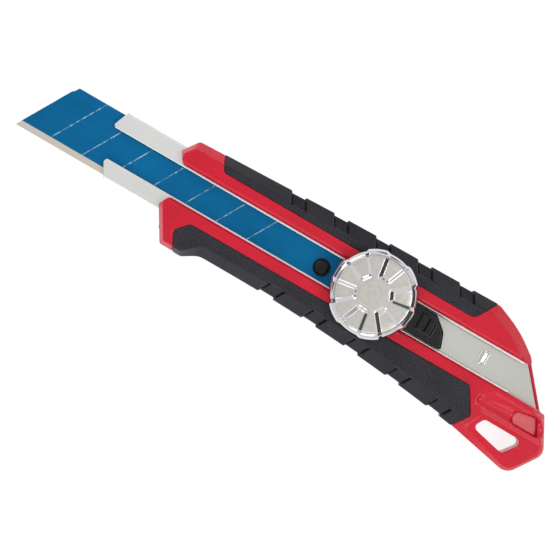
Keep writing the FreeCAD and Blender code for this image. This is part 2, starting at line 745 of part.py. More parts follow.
def lock_wheel(stud):
    """Cast wheel: six raised lobes and six sunk ones, a hub below and a hollow round the hub."""
    top, bottom, radius, face = WHEEL_TOP_Z, WHEEL_BOTTOM_Z, WHEEL_RADIUS, WHEEL_FACE_RADIUS
    hub_z = DECK_TOP_Z + 2 * WASHER_THICKNESS + CLEARANCE
    profile = [
        (0.0, hub_z),
        (4.3, hub_z),
        (4.3, bottom),
        (6.0, bottom),
        (6.6, bottom + 1.8),
        (10.4, bottom + 1.8),
        (11.0, bottom),
        (radius - 0.7, bottom),
        (radius, bottom + 0.7),
        (radius, top - 2.4),
        (radius - 0.35, top - 1.6),
        (face + 0.5, top - 0.55),
        (face + 0.1, top - 0.5),
        (face - 0.1, top),
        (0.0, top),
    ]
    wheel = turned(profile)
    floor, sunk_radius = top - LOBE_SINK, radius - LOBE_INSET
    cut_profile = [
        (WHEEL_DISC_RADIUS, top),
        (WHEEL_DISC_RADIUS + 1.2, floor),
        (face - 0.1, floor),
        (face + 0.1, floor - 0.4),
        (face + 0.5, floor - 0.45),
        (sunk_radius - 0.3, top - 2.2),
        (sunk_radius, top - 2.9),
        (sunk_radius, bottom - 1),
        (20.0, bottom - 1),
        (20.0, top + 1),
        (WHEEL_DISC_RADIUS, top + 1),
    ]
    points = [V(r, 0, z) for r, z in cut_profile]
    pitch = 360.0 / WHEEL_SECTORS
    lobe_gap = Part.Face(Part.makePolygon(points + points[:1])).revolve(V(0, 0, 0), UP, pitch)
    for i in range(0, WHEEL_SECTORS, 2):
        wheel = wheel.cut(lobe_gap.rotated(V(0, 0, 0), UP, WHEEL_FIRST_LOBE + i * pitch))
    return wheel.cut(stud)


def thrust_washer():
    """Plain washer that the wheel's hub turns on."""
    low = DECK_TOP_Z + WASHER_THICKNESS + CLEARANCE
    return cylinder(4.3, low, low + WASHER_THICKNESS).cut(cylinder(STUD_RADIUS + 0.1, 0, 20))


def spring_washer():
    """Conical spring washer that takes up the play under the wheel."""
    low, inner = DECK_TOP_Z, STUD_RADIUS + 0.1
    rise = WASHER_THICKNESS - 0.3
    return turned([(inner, low + rise), (4.3, low), (4.3, low + 0.3), (inner, low + WASHER_THICKNESS)])


# Assembly -----------------------------------------------------------------------------------------


def build():
    """All pieces by node name, round the wheel's axis."""
    slabs = {
        "body": handle_slab(0.0),
        "rubber": handle_slab(GRIP_PROUD),
        "core": handle_slab(-GRIP_THICKNESS),
        "notch_floor": handle_slab(-NOTCH_DEPTH),
        "slit_floor": handle_slab(-SLIT_DEPTH),
    }
    slabs["outside"] = block((-120, 120), (-60, 60), (-10, 30)).cut(slabs["core"])
    rivets, screws = rail_rivets(), handle_screws()
    stud = lock_stud()
    back, upper, lower = handle_shells(slabs, rivets, screws)
    return {
        "back_shell": back,
        "upper_cover": upper,
        "lower_cover": lower,
        "upper_grip": grip(UPPER_GRIP_PLAN, UPPER_NOTCHES, upper_side_y, -1, slabs),
        "lower_grip": grip(LOWER_GRIP_PLAN, LOWER_NOTCHES, lower_side_y, 1, slabs),
        "rail": rail(rivets),
        "rail_rivets": rivets,
        "handle_screws": screws,
        "slider_body": slider_body(),
        "blade_holder": blade_holder(),
        "blade_peg": blade_peg(),
        "leaf_spring": leaf_spring(),
        "blade": blade(),
        "spring_washer": spring_washer(),
        "thrust_washer": thrust_washer(),
        "lock_wheel": lock_wheel(stud),
        "lock_stud": stud,
        "stud_clip": stud_clip(),
        "clamp_nut": clamp_nut(),
    }


def origin_shift(pieces):
    """Move that brings the assembly's bottom centre to the origin."""
    box = Part.makeCompound(list(pieces.values())).optimalBoundingBox(False, False)
    return V(-(box.XMin + box.XMax) / 2, -(box.YMin + box.YMax) / 2, -box.ZMin)


def main():
    os.makedirs("parts", exist_ok=True)
    pieces = build()
    shift = origin_shift(pieces)
    for name, shape in pieces.items():
        solids = shape.Solids
        print(f"{name}: {len(solids)} solid(s), {shape.Volume:.1f} mm3, valid {shape.isValid()}")
        shape.translated(shift).exportStep(f"parts/{name}.step")
    print("shift", [round(value, 4) for value in shift])


if __name__ == "__main__":
    main()
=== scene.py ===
# %% [markdown]
# ## A snap-off knife on a white table
# The knife comes as a CAD model in which every piece already has its true size and place.
# Here the pieces get the soft edges of moulding and casting, and the finishes of real materials.
# The CAD frame is loaded first, so that every place below can be read from it instead of typed in.

import math

import bmesh
import bpy
from mathutils import Matrix, Vector


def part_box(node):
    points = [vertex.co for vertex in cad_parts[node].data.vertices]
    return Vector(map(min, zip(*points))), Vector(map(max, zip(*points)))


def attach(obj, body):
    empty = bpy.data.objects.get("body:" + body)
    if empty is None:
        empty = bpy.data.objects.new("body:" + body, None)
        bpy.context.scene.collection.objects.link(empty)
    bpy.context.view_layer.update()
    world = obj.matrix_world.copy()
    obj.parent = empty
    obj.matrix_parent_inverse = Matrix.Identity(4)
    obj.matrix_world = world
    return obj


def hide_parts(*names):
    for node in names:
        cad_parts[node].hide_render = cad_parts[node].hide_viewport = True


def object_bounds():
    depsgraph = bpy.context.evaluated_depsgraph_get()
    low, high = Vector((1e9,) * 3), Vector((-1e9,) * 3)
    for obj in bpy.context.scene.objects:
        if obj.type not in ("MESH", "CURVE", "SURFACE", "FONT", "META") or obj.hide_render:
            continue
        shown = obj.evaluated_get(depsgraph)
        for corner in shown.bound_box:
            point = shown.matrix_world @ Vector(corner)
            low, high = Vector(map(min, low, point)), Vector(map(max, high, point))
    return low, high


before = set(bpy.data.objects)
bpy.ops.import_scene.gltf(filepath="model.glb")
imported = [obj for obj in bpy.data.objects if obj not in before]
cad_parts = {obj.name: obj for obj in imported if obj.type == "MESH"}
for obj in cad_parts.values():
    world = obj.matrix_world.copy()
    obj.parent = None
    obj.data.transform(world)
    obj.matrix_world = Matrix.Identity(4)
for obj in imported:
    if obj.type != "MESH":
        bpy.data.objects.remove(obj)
cad_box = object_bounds()

MM = 0.001
wheel_low, wheel_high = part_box("lock_wheel")
wheel_axis = (wheel_low + wheel_high) / 2
print("CAD box", [round(v, 4) for corner in cad_box for v in corner], "wheel axis", wheel_axis)

# %% [markdown]
# ### Camera
# The knife is seen straight from above with a long lens, so the outlines hardly converge.
# A long lens far away keeps the wheel, which is nearer, from looking larger than it is.

# %% Set the camera
VIEW_TURN = math.radians(30.1)
CAMERA_DISTANCE = 0.9
PICTURE_WIDTH = 0.160
VIEW_CENTRE = wheel_axis + Vector((-24.9, -9.7, 0)) * MM
LIP_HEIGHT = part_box("rail")[1].z

camera_data = bpy.data.cameras.new("camera")
camera_data.sensor_width = 36.0
camera_data.lens = camera_data.sensor_width * CAMERA_DISTANCE / PICTURE_WIDTH
camera_data.clip_start = 0.01
camera = bpy.data.objects.new("camera", camera_data)
camera.location = (VIEW_CENTRE.x, VIEW_CENTRE.y, LIP_HEIGHT + CAMERA_DISTANCE)
camera.rotation_euler = (0, 0, VIEW_TURN)
bpy.context.scene.collection.objects.link(camera)
bpy.context.scene.camera = camera
bpy.context.scene.view_settings.view_transform = "Standard"
print("lens", round(camera_data.lens, 1), "mm")

# %% [markdown]
# ### Light
# A studio lights a small shiny thing inside a light tent. White walls all round light its
# slopes, and the opening overhead, where the camera looks in, is darker, which is why flat faces
# look deeper in colour than sloping ones. Polished metal needs something dark to show its shape,
# so gaps in the tent are left unlit: a wide one beyond the tail and low ones beyond the blade and
# along the upper side. The tent is a world shader that reads only the direction of the light. A key
# lamp high over the tail catches faces that lean a little that way, and two wide lamps soften the
# shadows.

# %% Set up the light tent
TENT_STOPS = [(0.0, 0.9), (0.25, 1.05), (0.6, 1.0), (0.88, 0.76), (1.0, 0.66)]
TENT_GAPS = [
    {"azimuth": 12, "height": 14, "core": 26, "fade": 36, "dark": 0.10},
    {"azimuth": 182, "height": 4, "core": 20, "fade": 30, "dark": 0.12},
    {"azimuth": 95, "height": 5, "core": 12, "fade": 22, "dark": 0.15},
]
TENT_STRENGTH = 0.92


def towards(azimuth, height):
    """Unit vector from an azimuth and a height above the table, both in degrees."""
    turn, rise = math.radians(azimuth), math.radians(height)
    return Vector((math.cos(turn) * math.cos(rise), math.sin(turn) * math.cos(rise), math.sin(rise)))


def add_lamp(name, direction, power, size, distance=0.9):
    """Square area light aimed at the middle of the knife."""
    data = bpy.data.lights.new(name, "AREA")
    data.energy = power
    data.size = size
    lamp = bpy.data.objects.new(name, data)
    lamp.location = direction * distance
    lamp.rotation_euler = (-direction).to_track_quat("-Z", "Y").to_euler()
    bpy.context.scene.collection.objects.link(lamp)


def darkened(tree, colour, direction, gap):
    """The tent's colour with one soft round gap cut in it."""
    toward_gap = tree.nodes.new("ShaderNodeVectorMath")
    toward_gap.operation = "DOT_PRODUCT"
    toward_gap.inputs[1].default_value = towards(gap["azimuth"], gap["height"])
    edge = tree.nodes.new("ShaderNodeMapRange")
    edge.interpolation_type = "SMOOTHSTEP"
    edge.inputs["From Min"].default_value = math.cos(math.radians(gap["fade"]))
    edge.inputs["From Max"].default_value = math.cos(math.radians(gap["core"]))
    dim = tree.nodes.new("ShaderNodeMix")
    dim.data_type = "RGBA"
    dim.inputs[7].default_value = (gap["dark"], gap["dark"], gap["dark"] * 1.1, 1.0)
    tree.links.new(direction, toward_gap.inputs[0])
    tree.links.new(toward_gap.outputs["Value"], edge.inputs["Value"])
    tree.links.new(edge.outputs["Result"], dim.inputs[0])
    tree.links.new(colour, dim.inputs[6])
    return dim.outputs[2]


def light_tent():
    """White walls that darken overhead, with the gaps cut in them."""
    world = bpy.data.worlds.new("light_tent")
    world.use_nodes = True
    tree = world.node_tree
    direction = tree.nodes.new("ShaderNodeTexCoord").outputs["Generated"]
    height = tree.nodes.new("ShaderNodeSeparateXYZ")
    walls = tree.nodes.new("ShaderNodeValToRGB")
    stops = walls.color_ramp.elements
    for position, _ in TENT_STOPS[1:-1]:
        stops.new(position)
    for stop, (_, value) in zip(stops, TENT_STOPS):
        stop.color = (value, value, value, 1.0)
    tree.links.new(direction, height.inputs[0])
    tree.links.new(height.outputs["Z"], walls.inputs[0])
    colour = walls.outputs[0]
    for gap in TENT_GAPS:
        colour = darkened(tree, colour, direction, gap)
    tree.links.new(colour, tree.nodes["Background"].inputs["Color"])
    tree.nodes["Background"].inputs["Strength"].default_value = TENT_STRENGTH
    return world


bpy.context.scene.world = light_tent()
add_lamp("key_lamp", towards(4, 60), 1.4, 0.26)
add_lamp("lamp_left", towards(150, 38), 1.2, 0.5)
add_lamp("lamp_front", towards(-75, 40), 1.0, 0.5)

# %% [markdown]
# ### Materials
# Every finish is a node tree that reads Object coordinates, which are metres measured in the frame.
# A texture scale of 1000 is therefore one feature a millimetre. The helpers below keep each
# material down to what makes it that material.


# %% Material helpers
class Finish:
    """A material being built: adds nodes, joins them and ends in one Principled shader."""

    def __init__(self, name):
        self.material = bpy.data.materials.new(name)
        self.material.use_nodes = True
        self.tree = self.material.node_tree
        self.shader = self.tree.nodes["Principled BSDF"]
        self.place = self.tree.nodes.new("ShaderNodeTexCoord").outputs["Object"]

    def set(self, **values):
        """Sets plain values on the shader's own sockets."""
        for name, value in values.items():
            self.shader.inputs[name.replace("_", " ")].default_value = value

    def join(self, output, input_name):
        self.tree.links.new(output, self.shader.inputs[input_name])

    def node(self, kind, values=None, **settings):
        """New node with settings as attributes and values by input name or index."""
        made = self.tree.nodes.new("ShaderNode" + kind)
        for name, value in settings.items():
            setattr(made, name, value)
        for key, value in (values or {}).items():
            if isinstance(value, bpy.types.NodeSocket):
                self.tree.links.new(value, made.inputs[key])
            else:
                made.inputs[key].default_value = value
        return made

    def stretched(self, scale, turn=0.0):
        """Object coordinates turned about Z and scaled along each axis."""
        mapping = self.node("Mapping", {"Vector": self.place, "Rotation": (0, 0, turn), "Scale": scale})
        return mapping.outputs["Vector"]

    def noise(self, scale, detail=2.0, vector=None, roughness=0.5):
        made = self.node(
            "TexNoise",
            {"Vector": vector or self.place, "Scale": scale, "Detail": detail, "Roughness": roughness},
        )
        return made.outputs["Fac"]

    def spread(self, value, low, high, from_low=0.3, from_high=0.7):
        """Maps a texture's value to the range low to high."""
        made = self.node(
            "MapRange",
            {"Value": value, "From Min": from_low, "From Max": from_high, "To Min": low, "To Max": high},
        )
        return made.outputs["Result"]

    def maths(self, operation, first, second=0.0):
        return self.node("Math", {0: first, 1: second}, operation=operation).outputs[0]

    def blend(self, amount, first, second):
        """Mixes two colours."""
        made = self.node("Mix", {0: amount, 6: first, 7: second}, data_type="RGBA")
        return made.outputs[2]

    def bump(self, height, distance, strength=1.0, below=None):
        values = {"Height": height, "Distance": distance, "Strength": strength}
        if below is not None:
            values["Normal"] = below
        return self.node("Bump", values).outputs["Normal"]

    def facing_up(self):
        """1 on faces that look straight up or down, 0 on slopes and walls."""
        normal = self.node("NewGeometry").outputs["Normal"]
        height = self.node("SeparateXYZ", {0: normal}).outputs["Z"]
        return self.spread(self.maths("ABSOLUTE", height), 0.0, 1.0, 0.93, 0.985)


def rgb(red, green, blue_with_painted_light):
    """Linear colour from the 0 to 255 values of a colour chart."""
    parts = []
    for value in (red / 255, green / 255, blue_with_painted_light / 255):
        parts.append(value / 12.92 if value <= 0.04045 else ((value + 0.055) / 1.055) ** 2.4)
    return (*parts, 1.0)


# %% [markdown]
# #### Red moulded plastic
# Glass-filled nylon comes out of a spark-eroded mould with a fine even grain, so it is satin, not
# glossy. The grain is a small bump, and a slow noise lets the colour drift a little, as pigment does.


# %% Red plastic
def red_plastic():
    finish = Finish("red_plastic")
    drift = finish.noise(90.0, 3.0)
    speckle = finish.noise(2300.0, 1.0)
    tone = finish.maths("ADD", finish.spread(drift, 0.0, 0.6), finish.spread(speckle, 0.0, 0.4))
    finish.join(finish.blend(tone, rgb(190, 1, 32), rgb(214, 12, 48)), "Base Color")
    grain = finish.noise(3600.0, 2.0)
    finish.join(finish.spread(grain, 0.22, 0.32), "Roughness")
    finish.join(finish.bump(grain, 0.00002, 0.4), "Normal")
    finish.set(Specular_IOR_Level=0.42)
    return finish.material


# %% [markdown]
# #### Grip rubber
# Thermoplastic rubber is dark grey rather than black, and soft light turns its slopes pale. Its
# flat faces carry a coarse spark grain and its slopes a finer one, so one mask by slope picks the
# grain and the roughness.


# %% Rubber
def grip_rubber():
    finish = Finish("grip_rubber")
    flat = finish.facing_up()
    drift = finish.noise(140.0, 3.0)
    colour = finish.blend(finish.spread(drift, 0.0, 1.0), rgb(27, 26, 33), rgb(37, 36, 44))
    speckle = finish.noise(2600.0, 1.0)
    bright = finish.maths("MULTIPLY", finish.spread(speckle, 0.0, 0.4, 0.5, 0.7), flat)
    finish.join(finish.blend(bright, colour, rgb(80, 79, 89)), "Base Color")
    finish.join(finish.spread(flat, 0.36, 0.6, 0.0, 1.0), "Roughness")
    fine = finish.bump(finish.noise(4200.0, 2.0), 0.00003, 0.5)
    coarse = finish.maths("MULTIPLY", speckle, flat)
    finish.join(finish.bump(coarse, 0.00009, 0.6, fine), "Normal")
    finish.set(Specular_IOR_Level=0.3)
    return finish.material


# %% [markdown]
# #### Rolled and brushed steel
# Stainless strip is rolled along its length, so its scratches run along the rail and smear
# reflections across it. Noise stretched 250 times along X gives those scratches. The floor of the
# fold between the lips is painted darker than the lips: painted shade where the arms of the handle
# overhang it. The floor also darkens towards the tail: that part is painted shade too, standing in
# for the fall of the studio light, and isn't a property of the sheet.

# %% Rail places
RAIL_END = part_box("rail")[1]
FLOOR_FADE_X = 50.0 * MM
LIP_DEPTH_LOW = 1.3 * MM
LIP_DEPTH_HIGH = 1.0 * MM


# %% Steels
def rolled_steel(name, lit_lips, shaded_floor_front, shaded_floor_rear, rough_low, rough_high):
    """Rolled sheet; the floor of the fold is painted darker than its lips, darkest at the rear, as
    painted shade.
    """
    finish = Finish(name)
    parts = finish.node("SeparateXYZ", {0: finish.place}).outputs
    # Painted shade: the floor between the lips is darker than the lips, and darker still towards the
    # tail.
    rearward = finish.spread(parts["X"], 0.0, 1.0, FLOOR_FADE_X, RAIL_END.x)
    shaded_floor = finish.blend(rearward, shaded_floor_front, shaded_floor_rear)
    out_of_shade = finish.spread(
        parts["Z"], 0.0, 1.0, RAIL_END.z - LIP_DEPTH_LOW, RAIL_END.z - LIP_DEPTH_HIGH
    )
    colour = finish.blend(out_of_shade, shaded_floor, lit_lips)
    along = finish.stretched((0.004, 1.0, 1.0))
    scratches = finish.noise(2600.0, 2.0, along, 0.5)
    patches = finish.noise(60.0, 1.0)
    finish.join(finish.spread(scratches, rough_low, rough_high), "Roughness")
    dull = finish.blend(finish.spread(patches, 0.0, 0.08), colour, rgb(150, 150, 146))
    finish.join(dull, "Base Color")
    finish.join(finish.bump(scratches, 0.000002, 0.05), "Normal")
    finish.set(Metallic=1.0)
    return finish.material


# %% [markdown]
# #### Blue blade coating
# A thin hard coating colours the whole blade before its edge is ground. Grinding takes it off, so a
# band along the edge is bare steel, with scratches across it. Scoring the break lines breaks the
# coating too, in dashes, because the scoring tool skips. All three places are worked out from
# where a point lies on the blade: how far it is from the edge, and from the nearest slanted line.

# %% Blade places
blade_low, blade_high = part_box("blade")
SCORE_ANGLE = math.radians(60.0)
SCORE_SLANT = 1 / math.tan(SCORE_ANGLE)
FIRST_SEGMENT = 9.6 * MM
SEGMENT = 10.25 * MM
SCORE_COUNT = 7
SCORE_HALF_WIDTH = 0.15 * MM
GROUND_WIDTH = 1.8 * MM


# %% Blade coating
def blade_coating():
    finish = Finish("blade_coating")
    parts = finish.node("SeparateXYZ", {0: finish.place}).outputs
    above_edge = finish.maths("SUBTRACT", parts["Y"], blade_low.y)
    lean = finish.maths("MULTIPLY", above_edge, SCORE_SLANT)
    upright = finish.maths("SUBTRACT", parts["X"], lean)
    along = finish.maths("SUBTRACT", upright, blade_low.x + FIRST_SEGMENT)
    wrapped = finish.node("Math", {0: along, 1: SEGMENT / 2, 2: -SEGMENT / 2}, operation="WRAP")
    nearest = finish.maths("ABSOLUTE", wrapped.outputs[0])
    on_line = finish.maths("LESS_THAN", nearest, SCORE_HALF_WIDTH)
    among = finish.maths("LESS_THAN", along, SEGMENT * (SCORE_COUNT - 0.5))
    dashes = finish.spread(finish.noise(900.0, 1.0), 0.15, 0.85, 0.42, 0.6)
    scored = finish.maths("MULTIPLY", finish.maths("MULTIPLY", on_line, among), dashes)
    ground = finish.maths("LESS_THAN", above_edge, GROUND_WIDTH)
    bare = finish.maths("MAXIMUM", scored, ground)

    streaks = finish.noise(1500.0, 4.0, finish.stretched((0.03, 1.0, 1.0)), 0.6)
    clouds = finish.noise(75.0, 3.0)
    tone = finish.maths("ADD", finish.spread(streaks, 0.0, 0.35), finish.spread(clouds, 0.0, 0.65))
    # Painted light: the blue grows paler from the tip towards the tail, lifting the part inside the
    # handle out of its shade.
    deep = finish.blend(tone, rgb(0, 92, 140), rgb(1, 106, 158))
    pale = finish.blend(tone, rgb(1, 108, 160), rgb(3, 122, 178))
    blue_with_painted_light = finish.blend(finish.spread(parts["X"], 0.0, 1.0, blade_low.x, blade_high.x), deep, pale)
    steel = finish.blend(ground, rgb(190, 216, 230), rgb(218, 209, 198))
    finish.join(finish.blend(bare, blue_with_painted_light, steel), "Base Color")
    finish.join(finish.spread(bare, 0.3, 0.7, 0.0, 1.0), "Metallic")
    finish.join(finish.spread(streaks, 0.3, 0.4), "Roughness")
    across = finish.noise(7000.0, 2.0, finish.stretched((1.0, 0.05, 1.0), -0.3))
    hatch = finish.maths("ADD", finish.maths("MULTIPLY", across, ground), streaks)
    finish.join(finish.bump(hatch, 0.000006, 0.4), "Normal")
    finish.set(Specular_IOR_Level=0.15)
    return finish.material


# %% [markdown]
# #### Cast lock wheel
# The wheel is a plated zinc casting. Its faces are linished flat after plating, which leaves fine
# straight scratches, while the slopes, the rim and the underside keep their mirror polish. The
# groove between the faces and the rim gets a dark line of painted shade, so the finish is also told
# how far a point lies from the wheel's axis.

# %% Wheel metal
GROOVE_RADIUS = 11.15 * MM
GROOVE_WIDTH = 0.22 * MM


def wheel_metal():
    finish = Finish("wheel_metal")
    flat = finish.facing_up()
    across = finish.stretched((1.0, 0.025, 1.0), VIEW_TURN)
    lines = finish.noise(5000.0, 3.0, across, 0.6)
    clouds = finish.spread(finish.noise(900.0, 4.0, roughness=0.6), 0.0, 1.0)
    satin = finish.blend(clouds, rgb(198, 195, 189), rgb(214, 211, 204))
    polish = finish.blend(flat, rgb(208, 207, 209), satin)

    centred = finish.node("VectorMath", {0: finish.place, 1: wheel_axis}, operation="SUBTRACT")
    parts = finish.node("SeparateXYZ", {0: centred.outputs[0]}).outputs
    squares = [finish.maths("MULTIPLY", parts[axis], parts[axis]) for axis in ("X", "Y")]
    radius = finish.maths("SQRT", finish.maths("ADD", *squares))
    # Painted shade: a dark line round the groove between the top faces and the rim, broken up by noise.
    from_groove = finish.maths("ABSOLUTE", finish.maths("SUBTRACT", radius, GROOVE_RADIUS))
    groove = finish.spread(from_groove, 0.75, 0.0, GROOVE_WIDTH / 2, GROOVE_WIDTH)
    upper = finish.maths("GREATER_THAN", parts["Z"], 0.0)
    shade_breakup = finish.spread(finish.noise(420.0, 2.0), 0.15, 1.0)
    groove_shade = finish.maths("MULTIPLY", finish.maths("MULTIPLY", groove, upper), shade_breakup)
    finish.join(finish.blend(groove_shade, polish, rgb(96, 90, 89)), "Base Color")
    finish.join(finish.spread(flat, 0.1, 0.4, 0.0, 1.0), "Roughness")
    finish.join(finish.bump(finish.maths("MULTIPLY", lines, flat), 0.00001, 0.5), "Normal")
    finish.set(Metallic=1.0)
    return finish.material


# %% [markdown]
# #### Black plastic and plain steels
# The slider and the peg are the same black nylon. The hidden screws, washers and springs are
# zinc-plated or spring steel: small, so a fine mottle is all the detail they need.


# %% Black plastic and hardware
def black_plastic():
    finish = Finish("black_plastic")
    grain = finish.noise(4800.0, 2.0)
    shade = finish.spread(grain, 0.0, 1.0)
    finish.join(finish.blend(shade, rgb(11, 12, 15), rgb(19, 20, 24)), "Base Color")
    finish.join(finish.spread(grain, 0.3, 0.4), "Roughness")
    finish.join(finish.bump(grain, 0.00001, 0.25), "Normal")
    finish.set(Specular_IOR_Level=0.34)
    return finish.material


def hardware_steel(name, colour):
    finish = Finish(name)
    mottle = finish.noise(1400.0, 4.0)
    dull = tuple(part * 0.75 for part in colour[:3]) + (1.0,)
    finish.join(finish.blend(finish.spread(mottle, 0.0, 1.0), dull, colour), "Base Color")
    finish.join(finish.spread(mottle, 0.22, 0.4), "Roughness")
    finish.join(finish.bump(mottle, 0.00001, 0.3), "Normal")
    finish.set(Metallic=1.0)
    return finish.material


def table_acrylic():
    """White acrylic lit from below, so that hardly any shadow is left on it."""
    finish = Finish("table_acrylic")
    pale = finish.blend(finish.noise(40.0), (0.22, 0.22, 0.22, 1.0), (0.25, 0.25, 0.25, 1.0))
    finish.join(pale, "Base Color")
    finish.set(Roughness=0.6, Emission_Color=(1.0, 1.0, 1.0, 1.0), Emission_Strength=0.86)
    return finish.material


RED = red_plastic()
RUBBER = grip_rubber()
# The first colour is the lit lips; the two floor colours are painted shade on the rail's floor.
RAIL_STEEL = rolled_steel(
    "rail_steel", rgb(251, 251, 249), rgb(219, 220, 213), rgb(191, 192, 184), 0.3, 0.34
)
BLADE = blade_coating()
WHEEL = wheel_metal()
BLACK = black_plastic()
ZINC = hardware_steel("zinc_plate", rgb(190, 190, 192))
SPRING = hardware_steel("spring_steel", rgb(140, 143, 150))
BLACK_STEEL = hardware_steel("black_steel", rgb(52, 52, 56))
TABLE = table_acrylic()
print("materials", [m.name for m in bpy.data.materials])

# %% [markdown]
# ### Pieces that keep their CAD shape
# Sheet metal, washers, springs, the stud and the nut are already as sharp and plain as the real
# ones, so they only need their finish. A CAD mesh is never edited: only its material changes.


# %% Give the CAD pieces their finishes
def paint(node, material):
    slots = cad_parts[node].data.materials
    slots.clear()
    slots.append(material)


cad_finishes = {
    "rail": RAIL_STEEL,
    "blade": BLADE,
    "blade_holder": BLACK_STEEL,
    "leaf_spring": SPRING,
    "spring_washer": SPRING,
    "thrust_washer": ZINC,
    "lock_stud": ZINC,
    "stud_clip": SPRING,
    "clamp_nut": ZINC,
    "back_shell": RED,
    "upper_cover": RED,
    "lower_cover": RED,
    "upper_grip": RUBBER,
    "lower_grip": RUBBER,
    "slider_body": BLACK,
    "blade_peg": BLACK,
    "lock_wheel": WHEEL,
    "rail_rivets": ZINC,
    "handle_screws": ZINC,
}
for cad_node, finish_material in cad_finishes.items():
    paint(cad_node, finish_material)
print("painted", len(cad_finishes), "CAD pieces")

# %% [markdown]
# ### Moulded pieces
# A mould can't be cut with a sharp inside corner, so every edge of a moulded piece is rounded. The
# CAD solids have sharp edges. They could be bevelled edge by edge, but their many small faces
# would stop the bevel at each meeting. Remeshing a copy to small even cells and relaxing them
# rounds all edges alike, inside and out, which is just what a mould does. Flat stretches don't
# need so many cells, so a Decimate modifier then takes out the ones that add no shape.

# %% Mould the handle and the grips
SMOOTH_PASSES = 3
MOST_TRIANGLES = 150000
VOXELS = {
    "back_shell": 0.30 * MM,
    "upper_cover": 0.22 * MM,
    "lower_cover": 0.24 * MM,
    "upper_grip": 0.19 * MM,
    "lower_grip": 0.2 * MM,
    "slider_body": 0.18 * MM,
    "blade_peg": 0.1 * MM,
}


def copied_mesh(node, name):
    """A merged copy of a CAD node's mesh, so that its loose triangles become one skin."""
    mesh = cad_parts[node].data.copy()
    mesh.name = name
    work = bmesh.new()
    work.from_mesh(mesh)
    bmesh.ops.remove_doubles(work, verts=work.verts, dist=1e-7)
    work.to_mesh(mesh)
    work.free()
    return mesh


def finished(mesh, name, body, slot, material, *nodes):
    """Puts a finished mesh into the scene as one piece that stands for CAD nodes."""
    mesh.materials.clear()
    mesh.materials.append(material)
    mesh.shade_smooth()
    piece = bpy.data.objects.new(name, mesh)
    bpy.context.scene.collection.objects.link(piece)
    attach(piece, body)
    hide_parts(*nodes)
    return piece


def evaluated(mesh, add_modifiers):
    """The mesh after modifiers, with none left on it."""
    carrier = bpy.data.objects.new("carrier", mesh)
    bpy.context.scene.collection.objects.link(carrier)
    add_modifiers(carrier)
    bpy.context.view_layer.update()
    graph = bpy.context.evaluated_depsgraph_get()
    result = bpy.data.meshes.new_from_object(carrier.evaluated_get(graph), depsgraph=graph)
    bpy.data.objects.remove(carrier)
    return result


def moulded(node, voxel):
    """Copy of a CAD node with all its edges rounded by remeshing and relaxing."""

    def rounding(carrier):
        remesh = carrier.modifiers.new("cells", "REMESH")
        remesh.mode = "VOXEL"
        remesh.voxel_size = voxel
        relax = carrier.modifiers.new("relax", "SMOOTH")
        relax.factor = 0.5
        relax.iterations = SMOOTH_PASSES

    fine = evaluated(copied_mesh(node, node + "_moulded"), rounding)
    share = MOST_TRIANGLES / (2 * len(fine.polygons))
    if share >= 1.0:
        return fine

    def thinning(carrier):
        carrier.modifiers.new("fewer", "DECIMATE").ratio = share

    return evaluated(fine, thinning)


MOULDINGS = {
    "back_shell": ("handle", "red_moulding", RED),
    "upper_cover": ("handle", "red_moulding", RED),
    "lower_cover": ("handle", "red_moulding", RED),
    "upper_grip": ("handle", "grip_rubber", RUBBER),
    "lower_grip": ("handle", "grip_rubber", RUBBER),
    "slider_body": ("slider", "black_plastic", BLACK),
    "blade_peg": ("slider", "black_plastic", BLACK),
}
for cad_node, (body, slot, material) in MOULDINGS.items():
    skin = moulded(cad_node, VOXELS[cad_node])
    piece = finished(skin, cad_node + "_moulded", body, slot, material, cad_node)
    print(piece.name, len(piece.data.polygons), "faces")

# %% [markdown]
# ### The folded rail
# Sheet steel that is blanked and folded has a small burnished round on every edge, and those
# rounds are the bright lines along its lips. The blank is plain and its faces are flat, so here
# a bevel on the sharp edges is the quickest way, and it needs few faces.

# %% Round the rail's edges
EDGE_ROUND = 0.1 * MM
SHARP_ANGLE = math.radians(35.0)


def softened(node, width):
    """Copy of a CAD node with its sharp edges bevelled."""
    mesh = copied_mesh(node, node + "_softened")
    work = bmesh.new()
    work.from_mesh(mesh)
    bmesh.ops.dissolve_limit(work, angle_limit=math.radians(0.5), verts=work.verts, edges=work.edges)
    work.to_mesh(mesh)
    work.free()
    mesh.shade_smooth()

    def rounding(carrier):
        bevel = carrier.modifiers.new("rounds", "BEVEL")
        bevel.width = width
        bevel.segments = 3
        bevel.limit_method = "ANGLE"
        bevel.angle_limit = SHARP_ANGLE
        weighted = carrier.modifiers.new("flat_faces_stay_flat", "WEIGHTED_NORMAL")
        weighted.keep_sharp = True

    return evaluated(mesh, rounding)


folded = softened("rail", EDGE_ROUND)
rail = finished(folded, "rail_folded", "handle", "rail_steel", RAIL_STEEL, "rail")
print(rail.name, len(rail.data.polygons), "faces")

# %% [markdown]
# ### The lock wheel
# The real wheel is cast in a die whose cavity was milled one lobe at a time and indexed round six
# times. It could be sculpted or cut by booleans, but the shape is the same every sixty degrees, so
# only one wedge is written out: half a sunk lobe, a raised lobe and half a sunk lobe. Two
# profiles are drawn from the centre over the rim to the underside, one for each kind of lobe, and
# the wedge blends between them over about a millimetre at each boundary.

